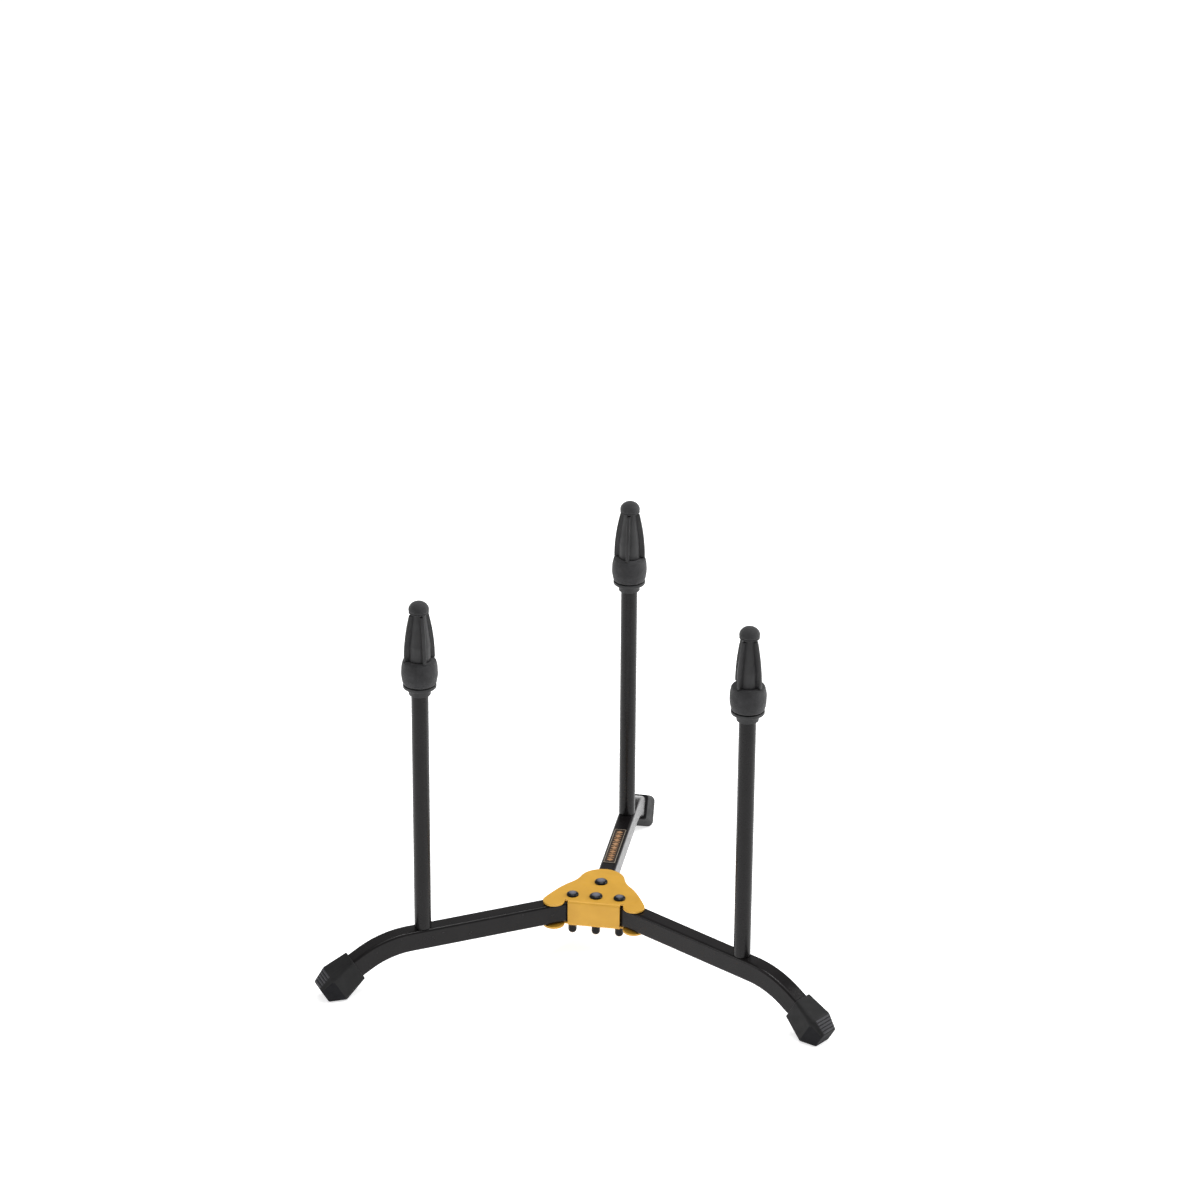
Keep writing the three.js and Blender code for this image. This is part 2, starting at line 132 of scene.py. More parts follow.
# Rubber boot: (x along the toe, half width, bottom, top, corner radius) at mouth, widest ring and end.
BOOT_MOUTH = (10.4, 9.9, -12.1, 12.1, 2.6)
BOOT_WIDEST = (35, 13.6, -18.2, 12.9, 5.6)
BOOT_END = (49.5, 9.9, -18.2 + 14.5 * math.tan(BEND_ANGLE), 7.3, 3.2)
BOOT_CREASE = 1
BOOT_EDGE = 0.9
BOOT_LIP = 0.6
RIBS = 5
RIB_RADIUS = 0.95
RIB_HEIGHT = 0.6
RIB_MARGIN = 0.62  # from the widest ring to the first rib, in ribs' spacings

# Name plate on the rear leg.
LABEL = {
    "width": 11.6, "length": 69, "thickness": 0.4, "centre": 107,
    "corner": 1, "border_inset": 0.45, "border_width": 0.4, "raised": 0.12, "sunk": 0.05,
}
MOTIF = {"repeats": 8, "pitch": 8, "half_long": 2.6, "half_wide": 3.3, "half_bar": 0.55}

TURNED_SIDES = 64
CORNER_STEPS = 6


# ---- Drawing in the plane ------------------------------------------------------------------------

def arc(centre, radius, start, end, steps):
    """Points round a circle, with the angles in degrees."""
    angles = [math.radians(start + (end - start) * i / steps) for i in range(steps + 1)]
    return [(centre[0] + radius * math.cos(a), centre[1] + radius * math.sin(a)) for a in angles]


def curve(start, pull, end, steps=10):
    """Points along a quadratic curve."""
    points = []
    for i in range(steps + 1):
        t = i / steps
        points.append(tuple(
            a * (1 - t) ** 2 + 2 * b * t * (1 - t) + c * t ** 2 for a, b, c in zip(start, pull, end)
        ))
    return points


def soften(points, radius, steps=3):
    """The same line with its inner corners rounded off."""
    line = [Vector(p) for p in points]
    softened = [line[0]]
    for before, corner, after in zip(line, line[1:], line[2:]):
        back, on = before - corner, after - corner
        reach = min(radius, 0.45 * back.length, 0.45 * on.length)
        start, end = corner + back.normalized() * reach, corner + on.normalized() * reach
        softened += curve(start, corner, end, steps)
    return softened + [line[-1]]


def rounded_rectangle(half_width, bottom, top, corner, steps=CORNER_STEPS):
    """(y, z) points round a rectangle about the X axis."""
    points = []
    for quarter, (side, edge) in enumerate(((1, top), (-1, top), (-1, bottom), (1, bottom))):
        centre = (side * (half_width - corner), edge - math.copysign(corner, edge))
        points += arc(centre, corner, 90 * quarter, 90 * quarter + 90, steps)
    return points


def dome(radius, rim, pole, steps=10):
    """(radius, height) points over a dome, from its rim to its pole."""
    angles = [math.pi / 2 * i / steps for i in range(steps + 1)]
    return [(radius * math.cos(a), rim + (pole - rim) * math.sin(a)) for a in angles]


def round_over(radius, steps=4):
    """(distance back from an end, inset) pairs that round its edge, from side to end."""
    angles = [math.pi / 2 * i / steps for i in range(steps + 1)]
    return [(radius * (1 - math.sin(a)), radius * (1 - math.cos(a))) for a in angles]


# ---- Solid shapes --------------------------------------------------------------------------------

def loft(mesh, rings, capped=False):
    """Skins a row of rings of equal length."""
    rows = [[mesh.verts.new(point) for point in ring] for ring in rings]
    for lower, upper in zip(rows, rows[1:]):
        for i in range(len(lower)):
            mesh.faces.new((lower[i - 1], lower[i], upper[i], upper[i - 1]))
    if capped:
        mesh.faces.new(rows[0])
        mesh.faces.new(rows[-1])


def lathe(mesh, profile, sides=TURNED_SIDES):
    """Turns (radius, height) points round the Z axis."""
    angles = [math.tau * i / sides for i in range(sides)]
    loft(mesh, [[(r * math.cos(a), r * math.sin(a), z) for a in angles] for r, z in profile])


def plate(mesh, outline, bottom, top):
    """A flat solid with that (x, y) outline."""
    loft(mesh, [[(x, y, z) for x, y in outline] for z in (bottom, top)], capped=True)


def tube(mesh, bore, radius, bottom, top, edge=0.2):
    """A ring with a bore and softened edges."""
    half = [(bore, (bottom + top) / 2), (bore, bottom), (radius, bottom), (radius, top), (bore, top)]
    lathe(mesh, soften(half + [half[0]], edge))


def rod(mesh, radius, bottom, top, sides=TURNED_SIDES):
    lathe(mesh, [(0, bottom), (radius, bottom), (radius, top), (0, top)], sides)


def add_hole(holes, at, radius, bottom, top, sides):
    """Adds an upright rod at (x, y) to a mesh of cutting shapes."""
    hole = bmesh.new()
    rod(hole, radius, bottom, top, sides)
    hole.transform(Matrix.Translation((*at, 0)))
    carrier = bpy.data.meshes.new("carrier")
    hole.to_mesh(carrier)
    hole.free()
    holes.from_mesh(carrier)
    bpy.data.meshes.remove(carrier)


def leg_axis(x, turn):
    """The frame on a leg's centre line, at x along its straight part and then round the bend."""
    drop = LEG_HEIGHT / 2 + BEND_RADIUS * (1 - math.cos(turn))
    middle = Vector((x + BEND_RADIUS * math.sin(turn), 0, -drop))
    return Matrix.Translation(middle) @ Matrix.Rotation(turn, 4, "Y")


# ---- Putting pieces into the scene ---------------------------------------------------------------

BODY_OF = {
    node: body for body, nodes in frame["record"]["behaviour"]["bodies"].items() for node in nodes
}


def add_object(name, mesh, place):
    """Closes a drawn mesh and makes an object of it, with its vertices where the place puts them."""
    bmesh.ops.remove_doubles(mesh, verts=mesh.verts, dist=1e-4)
    bmesh.ops.recalc_face_normals(mesh, faces=mesh.faces)
    data = bpy.data.meshes.new(name)
    mesh.to_mesh(data)
    mesh.free()
    data.transform(place)
    made = bpy.data.objects.new(name, data)
    bpy.context.scene.collection.objects.link(made)
    return made


def apply_modifiers(made):
    bpy.context.view_layer.update()
    evaluated = made.evaluated_get(bpy.context.evaluated_depsgraph_get())
    shaped = bpy.data.meshes.new_from_object(evaluated)
    made.modifiers.clear()
    made.data = shaped


def round_edges(made, width, angle=40, segments=3):
    bevel = made.modifiers.new("edges", "BEVEL")
    bevel.width = width * MM
    bevel.segments = segments
    bevel.limit_method = "ANGLE"
    bevel.angle_limit = math.radians(angle)
    bevel.use_clamp_overlap = True


def cut_holes(made, mesh, place):
    """Cuts the drawn solids out of an object."""
    cutter = add_object(made.name + "_cutter", mesh, place)
    hole = made.modifiers.new("holes", "BOOLEAN")
    hole.operation = "DIFFERENCE"
    hole.solver = "EXACT"
    hole.object = cutter
    apply_modifiers(made)
    bpy.data.objects.remove(cutter)


def settle(made, node, materials, sharp=38):
    """Shades a finished piece and lets it stand for its CAD node, on that node's body."""
    if made.modifiers:
        apply_modifiers(made)
    made.data.shade_smooth()
    made.data.set_sharp_from_angle(angle=math.radians(sharp))
    made.modifiers.new("shading", "WEIGHTED_NORMAL").keep_sharp = True
    for material in materials:
        if made.data.materials.find(material.name) < 0:
            made.data.materials.append(material)
    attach(made, BODY_OF[node])
    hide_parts(node)
    return made


# ---- Materials -----------------------------------------------------------------------------------

def shader_nodes(name):
    material = bpy.data.materials.new(name)
    material.use_nodes = True
    tree = material.node_tree
    return material, tree, tree.nodes["Principled BSDF"]


def pattern(tree, kind, scale, **settings):
    """A texture in the object's own coordinates, with features about 1 / scale metres across."""
    coordinates = tree.nodes.new("ShaderNodeTexCoord")
    texture = tree.nodes.new(kind)
    tree.links.new(coordinates.outputs["Object"], texture.inputs["Vector"])
    texture.inputs["Scale"].default_value = scale
    for socket, value in settings.items():
        texture.inputs[socket].default_value = value
    return texture


def to_range(tree, source, low, high, start=0.3, end=0.7):
    """Spreads a texture's middle values over a range."""
    spread = tree.nodes.new("ShaderNodeMapRange")
    tree.links.new(source, spread.inputs["Value"])
    for socket, value in (("From Min", start), ("From Max", end), ("To Min", low), ("To Max", high)):
        spread.inputs[socket].default_value = value
    return spread.outputs["Result"]


def blend_colours(tree, share, first, second):
    """A colour between two, each of which is a colour or another node's output."""
    mix = tree.nodes.new("ShaderNodeMix")
    mix.data_type = "RGBA"
    tree.links.new(share, mix.inputs["Factor"])
    for socket, colour in ((mix.inputs[6], first), (mix.inputs[7], second)):
        if isinstance(colour, bpy.types.NodeSocket):
            tree.links.new(colour, socket)
        else:
            socket.default_value = (*colour, 1)
    return mix.outputs[2]


def edge_mask(tree, radius, strength):
    """Near 1 along sharp edges within that radius, and 0 on flat stretches."""
    rounded = tree.nodes.new("ShaderNodeBevel")
    rounded.inputs["Radius"].default_value = radius
    geometry = tree.nodes.new("ShaderNodeNewGeometry")
    compare = tree.nodes.new("ShaderNodeVectorMath")
    compare.operation = "DOT_PRODUCT"
    tree.links.new(rounded.outputs["Normal"], compare.inputs[0])
    tree.links.new(geometry.outputs["True Normal"], compare.inputs[1])
    return to_range(tree, compare.outputs["Value"], strength, 0, start=0.8, end=0.99)


def relief(tree, shader, height, depth, strength=1.0):
    """Bumps a shader's surface by a texture, depth in metres."""
    bump = tree.nodes.new("ShaderNodeBump")
    bump.inputs["Strength"].default_value = strength
    bump.inputs["Distance"].default_value = depth
    tree.links.new(height, bump.inputs["Height"])
    tree.links.new(bump.outputs["Normal"], shader.inputs["Normal"])


def finish(name, colour, tint, gloss, grain, depth, **sockets):
    """A coated surface: the colour drifts to a tint, the gloss varies, and fine grain stands on it."""
    material, tree, shader = shader_nodes(name)
    drift = pattern(tree, "ShaderNodeTexNoise", 60, Detail=3)
    base = blend_colours(tree, to_range(tree, drift.outputs["Fac"], 0, 1), colour, tint)
    tree.links.new(base, shader.inputs["Base Color"])
    patches = pattern(tree, "ShaderNodeTexNoise", 140, Detail=4)
    tree.links.new(to_range(tree, patches.outputs["Fac"], *gloss), shader.inputs["Roughness"])
    texture = pattern(tree, "ShaderNodeTexNoise", grain, Detail=2)
    relief(tree, shader, texture.outputs["Fac"], depth)
    for socket, value in sockets.items():
        shader.inputs[socket.replace("_", " ")].default_value = value
    return material, tree, shader, base


def with_worn_highlit_edges(made, wear_and_highlight_tone, radius, strength):
    """Lets a coating's edges show a paler tone: partly wear, partly painted highlight."""
    material, tree, shader, base = made
    painted_edge_tone = blend_colours(tree, edge_mask(tree, radius, strength), base, wear_and_highlight_tone)
    tree.links.new(painted_edge_tone, shader.inputs["Base Color"])
    return material


def set_specular(made, level):
    made[2].inputs["Specular IOR Level"].default_value = level
    return made


def hub_gold():
    made = finish(
        "golden powder coat", (0.67, 0.365, 0.043), (0.61, 0.325, 0.036), (0.40, 0.52), 1500, 0.00008,
        Metallic=0.12,
    )
    # paler gold along the edges: painted highlight, partly wear
    return with_worn_highlit_edges(set_specular(made, 0.4), (0.84, 0.55, 0.17), 0.0006, 0.5)


def leg_black():
    made = finish(
        "black powder coat", (0.0060, 0.0052, 0.0055), (0.0088, 0.0078, 0.0082),
        (0.20, 0.28), 1900, 0.00003,
    )
    # grey along the edges: painted highlight, partly wear
    return with_worn_highlit_edges(set_specular(made, 0.19), (0.055, 0.055, 0.058), 0.0005, 0.4)


def post_black():
    made = finish(
        "satin black enamel", (0.0066, 0.0059, 0.0062), (0.0092, 0.0083, 0.0087),
        (0.24, 0.32), 2600, 0.000006,
    )
    return set_specular(made, 0.2)[0]


def boot_rubber():
    made = finish(
        "black rubber", (0.0080, 0.0080, 0.0082), (0.0125, 0.0125, 0.013), (0.50, 0.64), 2400, 0.00006,
    )
    # grey along the edges: painted highlight, partly wear
    return with_worn_highlit_edges(set_specular(made, 0.19), (0.06, 0.06, 0.066), 0.0008, 0.45)


def shaded_end_rubber():
    """The end of a boot, where it is matt, and darker as painted shade."""
    made = finish(
        "matt rubber with painted shade", (0.0058, 0.0058, 0.0072), (0.0090, 0.0090, 0.0108), (0.62, 0.76), 2400, 0.00006,
    )
    return set_specular(made, 0.13)[0]


def rib_rubber():
    # the bars are paler than the boot: scuffing, and a painted highlight along them
    made = finish(
        "scuffed rubber with painted highlight", (0.026, 0.0255, 0.030), (0.036, 0.035, 0.041), (0.40, 0.52), 2400, 0.00006,
    )
    return set_specular(made, 0.34)[0]


def bolt_black():
    """Black oxide with a painted blue-grey highlight on surfaces that face up."""
    made = finish(
        "black oxide with painted highlight", (0.0035, 0.0035, 0.004), (0.006, 0.006, 0.007), (0.24, 0.34), 2600, 0.00002,
    )
    material, tree, shader, base = set_specular(made, 0.17)
    geometry = tree.nodes.new("ShaderNodeNewGeometry")
    split = tree.nodes.new("ShaderNodeSeparateXYZ")
    tree.links.new(geometry.outputs["Normal"], split.inputs["Vector"])
    # painted highlight: the colour turns blue grey where the surface faces up
    crown = to_range(tree, split.outputs["Z"], 0, 1, start=0.92, end=1)
    tree.links.new(blend_colours(tree, crown, base, (0.16, 0.165, 0.20)), shader.inputs["Base Color"])
    return material


def zinc():
    made = finish(
        "zinc plate", (0.46, 0.47, 0.49), (0.36, 0.38, 0.42), (0.26, 0.42), 3000, 0.00002,
        Metallic=0.92,
    )
    return made[0]


def nylon():
    return finish("natural nylon", (0.69, 0.66, 0.58), (0.62, 0.58, 0.49), (0.42, 0.58), 1600, 0.00003)[0]


def moulded():
    made = finish(
        "black moulding", (0.013, 0.013, 0.014), (0.02, 0.02, 0.021), (0.42, 0.58), 2800, 0.00005,
    )
    # grey along the edges: painted highlight, partly wear
    return with_worn_highlit_edges(set_specular(made, 0.4), (0.05, 0.05, 0.052), 0.0005, 0.3)


def foam():
    """Open-celled foam: cells as dimples with painted shade in them, a little sheen, and paler where it
    is rubbed.
    """
    material, tree, shader = shader_nodes("dense foam")
    cells = pattern(tree, "ShaderNodeTexVoronoi", 1300)
    drift = pattern(tree, "ShaderNodeTexNoise", 130, Detail=4)
    share = to_range(tree, drift.outputs["Fac"], 0, 1)
    skin = blend_colours(tree, share, (0.020, 0.020, 0.021), (0.036, 0.036, 0.038))
    # painted shade: the colour darkens where the cells sink
    painted_pit_shade = to_range(tree, cells.outputs["Distance"], 0.55, 0, start=0.0, end=0.35)
    tree.links.new(blend_colours(tree, painted_pit_shade, skin, (0.006, 0.006, 0.006)), shader.inputs["Base Color"])
    tree.links.new(to_range(tree, drift.outputs["Fac"], 0.82, 0.96), shader.inputs["Roughness"])
    shader.inputs["Sheen Weight"].default_value = 0.18
    shader.inputs["Specular IOR Level"].default_value = 0.25
    relief(tree, shader, cells.outputs["Distance"], 0.0003, 0.8)
    return material


def label_panel():
    made = finish(
        "dark plate", (0.020, 0.012, 0.007), (0.034, 0.019, 0.010), (0.30, 0.45), 2000, 0.00003,
    )
    return made[0]


def label_metal(name, colour, tint):
    return finish(name, colour, tint, (0.30, 0.46), 3200, 0.00003, Metallic=0.75)[0]


GOLD_SHEET = hub_gold()
LEG_COAT = leg_black()
POST_COAT = post_black()
RUBBER = boot_rubber()
SHADED_END_RUBBER = shaded_end_rubber()
RIB_RUBBER = rib_rubber()
BLACK_STEEL = bolt_black()
ZINC = zinc()
NYLON = nylon()
MOULDED = moulded()
FOAM = foam()
PANEL = label_panel()
BORDER_METAL = label_metal("pale border", (0.78, 0.71, 0.60), (0.62, 0.55, 0.44))
MOTIF_METAL = label_metal("bronze motif", (0.86, 0.50, 0.27), (0.70, 0.36, 0.16))


# ---- Frames of the legs and the hub --------------------------------------------------------------

def middle_of(node):
    low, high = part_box(node)
    return (low + high) / 2


LEG_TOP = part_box("leg_tube_rear")[1].z
HUB_CENTRE = middle_of("centre_bolt")
HUB_PLACE = Matrix.Translation((HUB_CENTRE.x, HUB_CENTRE.y, LEG_TOP)) @ Matrix.Scale(MM, 4)
FIRST_BOLT = {"left": "pivot_bolt_left", "right": "pivot_bolt_right", "rear": "centre_bolt"}


def leg_place(side):
    """The frame at a leg's first bolt with X along the leg, and the distance from there to its post."""
    bolt = middle_of(FIRST_BOLT[side])
    along = (middle_of(f"post_tube_{side}") - bolt).to_2d()
    turn = Matrix.Rotation(math.atan2(along.y, along.x), 4, "Z")
    return Matrix.Translation((bolt.x, bolt.y, LEG_TOP)) @ turn @ Matrix.Scale(MM, 4), along.length / MM


def bolt_place(node):
    bolt = middle_of(node)
    return Matrix.Translation((bolt.x, bolt.y, LEG_TOP)) @ Matrix.Scale(MM, 4)


# ---- Legs and boots ------------------------------------------------------------------------------

def leg_tube(side):
    place, reach = leg_place(side)
    bend_start = reach + BEND_AFTER_POST
    stations = [leg_axis(x, 0) for x in (-LEG_HEEL, reach / 2, bend_start)]
    stations += [leg_axis(bend_start, BEND_ANGLE * (i + 1) / BEND_STEPS) for i in range(BEND_STEPS)]
    stations.append(stations[-1] @ Matrix.Translation((TOE_LENGTH, 0, 0)))
    outside = rounded_rectangle(LEG_WIDTH / 2, -LEG_HEIGHT / 2, LEG_HEIGHT / 2, LEG_CORNER)
    half_width, half_height = LEG_WIDTH / 2 - LEG_WALL, LEG_HEIGHT / 2 - LEG_WALL
    inside = rounded_rectangle(half_width, -half_height, half_height, LEG_CORNER - LEG_WALL)
    rings = [[station @ Vector((0, y, z)) for y, z in outside] for station in stations]
    rings += [[station @ Vector((0, y, z)) for y, z in inside] for station in reversed(stations)]
    mesh = bmesh.new()
    loft(mesh, rings + rings[:1])
    made = add_object(f"leg_tube_{side}_look", mesh, place)
    round_edges(made, LEG_END_EDGE, angle=60, segments=2)
    apply_modifiers(made)
    bolt_reaches = [0]
    if side == "rear":
        bolt_reaches.append((middle_of("rear_bolt") - HUB_CENTRE).to_2d().length / MM)
    holes = bmesh.new()
    for x in bolt_reaches:
        add_hole(holes, (x, 0), SLEEVE_RADIUS + CLEARANCE, -LEG_HEIGHT - CUT_PAST, CUT_PAST, sides=32)
    add_hole(holes, (reach, 0), INSERT["radius"] + CLEARANCE, -LEG_HEIGHT / 2, CUT_PAST, sides=48)
    cut_holes(made, holes, place)
    settle(made, f"leg_tube_{side}", [LEG_COAT], sharp=30)


def boot_sizes(x):
    """(half width, bottom, top, corner radius) of the boot's skin at x, with its widest ring eased."""
    def straight(at):
        start, end = (BOOT_MOUTH, BOOT_WIDEST) if at < BOOT_WIDEST[0] else (BOOT_WIDEST, BOOT_END)
        share = (at - start[0]) / (end[0] - start[0])
        return [a + (b - a) * share for a, b in zip(start[1:], end[1:])]
    samples = [straight(x + BOOT_CREASE * offset / 4) for offset in range(-4, 5)]
    return [sum(values) / len(samples) for values in zip(*samples)]


def boot_ring(x, inset=0):
    half_width, bottom, top, corner = boot_sizes(x)
    outline = rounded_rectangle(half_width - inset, bottom + inset, top - inset, max(corner - inset, 0.5))
    return [(x, y, z) for y, z in outline]


def rib(mesh, x, z, half_length):
    """A round bar across the boot, with domed ends."""
    profile = dome(RIB_RADIUS, half_length - RIB_RADIUS, half_length, 4)
    profile = [(r, -y) for r, y in reversed(profile)] + profile
    angles = [math.tau * i / 12 for i in range(12)]
    loft(mesh, [[(x + r * math.cos(a), y, z + r * math.sin(a)) for a in angles] for r, y in profile])


def boot_ribs():
    """The row of bars across the sloping upper face of a boot's end."""
    widest, end = BOOT_WIDEST[0], BOOT_END[0]
    slope = math.atan2(BOOT_WIDEST[3] - BOOT_END[3], end - widest)
    sunk = RIB_RADIUS - RIB_HEIGHT
    spacing = (end - widest) / (RIBS + 0.3)
    mesh = bmesh.new()
    for i in range(RIBS):
        x = widest + spacing * (i + RIB_MARGIN)
        half_width, _, top, corner = boot_sizes(x)
        half_length = half_width - corner * 0.75
        rib(mesh, x - sunk * math.sin(slope), top - sunk * math.cos(slope), half_length)
    return mesh


def foot_boot(side):
    place, reach = leg_place(side)
    toe = place @ leg_axis(reach + BEND_AFTER_POST, BEND_ANGLE)
    half_height = LEG_HEIGHT / 2 + CLEARANCE
    pocket = rounded_rectangle(
        LEG_WIDTH / 2 + CLEARANCE, -half_height, half_height, LEG_CORNER + CLEARANCE
    )
    mouth, widest, end = BOOT_MOUTH[0], BOOT_WIDEST[0], BOOT_END[0]
    body_start, body_end = mouth + 2, widest - 3
    rings = [[(x, y, z) for y, z in pocket] for x in (TOE_LENGTH + CLEARANCE, mouth)]
    rings += [boot_ring(mouth + back, inset) for back, inset in reversed(round_over(BOOT_LIP, 3))]
    rings += [boot_ring(body_start + (body_end - body_start) * i / 3) for i in range(4)]
    rings += [boot_ring(widest + BOOT_CREASE * step / 3) for step in range(-4, 5)]
    rings += [boot_ring(end - back, inset) for back, inset in round_over(BOOT_EDGE)]
    mesh = bmesh.new()
    loft(mesh, rings, capped=True)
    # faces past the widest ring, below the top, take the darker end rubber: painted shade
    for face in mesh.faces:
        middle = face.calc_center_median()
        on_top = middle.z > BOOT_END[3] - BOOT_EDGE
        face.material_index = int(middle.x > widest and not on_top)
    made = add_object(f"foot_boot_{side}_look", mesh, toe)
    bars = add_object("ribs", boot_ribs(), toe)
    made.data.materials.append(RUBBER)
    made.data.materials.append(SHADED_END_RUBBER)
    bars.data.materials.append(RIB_RUBBER)
    join([made, bars])
    settle(made, f"foot_boot_{side}", [], sharp=50)


def join(parts):
    """Joins objects into the first of them, each keeping its materials."""
    bpy.ops.object.select_all(action="DESELECT")
    for part in parts:
        part.select_set(True)
    bpy.context.view_layer.objects.active = parts[0]
    bpy.ops.object.join()


# ---- Hub -----------------------------------------------------------------------------------------

def hub_outline():
    """The outline of a hub plate, from its fold's right end round the back to the left end."""
    lobe = SIDE_LOBE
    side = arc((lobe["x"], lobe["y"]), lobe["radius"], lobe["from"], lobe["to"], 30)
    rear = arc((0, REAR_LOBE["y"]), REAR_LOBE["radius"], REAR_LOBE["from"], 90, 14)
    half = [(WALL_HALF_WIDTH, WALL_Y + FOLD_RADIUS), (WALL_HALF_WIDTH, NOTCH_Y)]
    half += side
    half += curve(side[-1], SIDE_PULL, SHOULDER)[1:]
    half += curve(SHOULDER, REAR_PULL, rear[0])[1:-1]
    half += rear
    return half + [(-x, y) for x, y in reversed(half[:-1])]


def hub_bracket():
    mesh = bmesh.new()
    outline = hub_outline()
    upper = [mesh.verts.new((x, y, HUB_TOP)) for x, y in outline]
    lower = [mesh.verts.new((x, y, HUB_BOTTOM)) for x, y in outline]
    mesh.faces.new(upper)
    mesh.faces.new(list(reversed(lower)))
    fold_y = WALL_Y + FOLD_RADIUS
    section = arc((fold_y, HUB_TOP - FOLD_RADIUS), FOLD_RADIUS, 90, 180, 8)
    section += arc((fold_y, HUB_BOTTOM + FOLD_RADIUS), FOLD_RADIUS, 180, 270, 8)
    rows = [(upper[0], upper[-1])]
    for y, z in section[1:-1]:
        rows.append(tuple(mesh.verts.new((side * WALL_HALF_WIDTH, y, z)) for side in (1, -1)))
    rows.append((lower[0], lower[-1]))
    for (right, left), (next_right, next_left) in zip(rows, rows[1:]):
        mesh.faces.new((right, next_right, next_left, left))
    made = add_object("hub_bracket_look", mesh, HUB_PLACE)
    thickness = made.modifiers.new("sheet", "SOLIDIFY")
    thickness.thickness = SHEET * MM
    thickness.offset = -1
    thickness.use_even_offset = True
    round_edges(made, SHEET_EDGE, angle=50)
    apply_modifiers(made)
    holes = bmesh.new()
    for node in HEAD_RADIUS:
        at = (middle_of(node) - HUB_CENTRE) / MM
        add_hole(holes, at.xy, SHANK_HOLE, HUB_BOTTOM - CUT_PAST, HUB_TOP + CUT_PAST, sides=32)
    cut_holes(made, holes, HUB_PLACE)
    settle(made, "hub_bracket", [GOLD_SHEET], sharp=40)


def coach_bolt(node):
    radius = HEAD_RADIUS[node]
    seat = HUB_TOP + GAP
    end = HUB_BOTTOM - NUT_HEX_HEIGHT - BOLT_POINT
    profile = [(0, end), (SHANK_RADIUS, end), (SHANK_RADIUS, seat), (radius, seat)]
    profile.append((radius, seat + HEAD_RIM / 2))
    mesh = bmesh.new()
    lathe(mesh, soften(profile, 0.25) + dome(radius, seat + HEAD_RIM, seat + HEAD_HEIGHT, 14))
    made = add_object(f"{node}_look", mesh, bolt_place(node))
    settle(made, node, [BLACK_STEEL], sharp=50)


def cap_nut(bolt):
    node = bolt.replace("bolt", "nut")
    top = HUB_BOTTOM - GAP
    hex_bottom = top - NUT_HEX_HEIGHT
    corners = arc((0, 0), NUT_ACROSS_CORNERS / 2, 0, 300, 5)
    hexagon = bmesh.new()
    plate(hexagon, corners, hex_bottom, top)
    made = add_object(f"{node}_look", hexagon, bolt_place(bolt))
    round_edges(made, NUT_EDGE, angle=30, segments=3)
    apply_modifiers(made)
    mesh = bmesh.new()
    dome_rim = top - NUT_HEIGHT + NUT_DOME_RADIUS
    shoulder = [(NUT_DOME_RADIUS + 0.5, hex_bottom + 0.2), (NUT_DOME_RADIUS, hex_bottom - 0.5)]
    crown = dome(NUT_DOME_RADIUS, dome_rim, top - NUT_HEIGHT, 12)
    lathe(mesh, [(0, hex_bottom + 0.2)] + shoulder + crown)
    cap = add_object("cap", mesh, bolt_place(bolt))
    join([made, cap])
    settle(made, node, [BLACK_STEEL], sharp=50)


def hub_rings(bolt):
    """The sleeve round a bolt, and the nylon washers of a pivot."""
    turns = bolt.startswith("pivot")
    stand_out = -GAP if turns else WASHER_THICKNESS + GAP
    mesh = bmesh.new()
    tube(mesh, SHANK_HOLE, SLEEVE_RADIUS, -LEG_HEIGHT - stand_out, stand_out)
    sleeve = bolt.replace("bolt", "sleeve")
    settle(add_object(f"{sleeve}_look", mesh, bolt_place(bolt)), sleeve, [ZINC])
    if not turns:
        return
    for name, low in (("washer_upper", GAP), ("washer_lower", -LEG_HEIGHT - GAP - WASHER_THICKNESS)):
        mesh = bmesh.new()
        tube(mesh, SHANK_HOLE, WASHER_RADIUS, low, low + WASHER_THICKNESS, 0.15)
        node = bolt.replace("bolt", name)
        settle(add_object(f"{node}_look", mesh, bolt_place(bolt)), node, [NYLON])


# ---- Posts and pegs ------------------------------------------------------------------------------

def post_place(side):
    place, reach = leg_place(side)
    return place @ Matrix.Translation((reach, 0, 0))


def threaded_insert(side):
    bore, radius, flange, top, depth = (INSERT[k] for k in ("bore", "radius", "flange", "top", "depth"))
    line = [(bore, -1), (bore, -depth), (radius, -depth), (radius, GAP)]
    line += [(flange, GAP), (flange, top), (bore, top)]
    mesh = bmesh.new()
    lathe(mesh, soften(line + line[:1], 0.3))
    node = f"post_insert_{side}"
    settle(add_object(f"{node}_look", mesh, post_place(side)), node, [ZINC])


def post_stud(side):
    """A screw with a true thread, and the plug that holds it in the post."""
    low, high = -STUD["length"], STUD["plug_bottom"]
    rows = int((high - low) / STUD["pitch"] * 8)
    rings = []
    for row in range(rows + 1):
        z = low + (high - low) * row / rows
        point_taper = max(0, STUD["chamfer"] - (z - low))
        ring = []
        for i in range(40):
            turn = i / 40
            crest = abs(2 * ((z / STUD["pitch"] - turn) % 1) - 1)
            radius = STUD["radius"] - STUD["thread"] * (1 - crest) - point_taper
            angle = math.tau * turn
            ring.append((radius * math.cos(angle), radius * math.sin(angle), z))
        rings.append(ring)
    mesh = bmesh.new()
    loft(mesh, rings, capped=True)
    plug = POST_RADIUS - POST_WALL - CLEARANCE
    bottom, top = STUD["plug_bottom"], STUD["plug_top"]
    lathe(mesh, soften([(0, bottom), (plug, bottom), (plug, top), (0, top)], 0.4))
    node = f"post_stud_{side}"
    settle(add_object(f"{node}_look", mesh, post_place(side)), node, [ZINC], sharp=60)


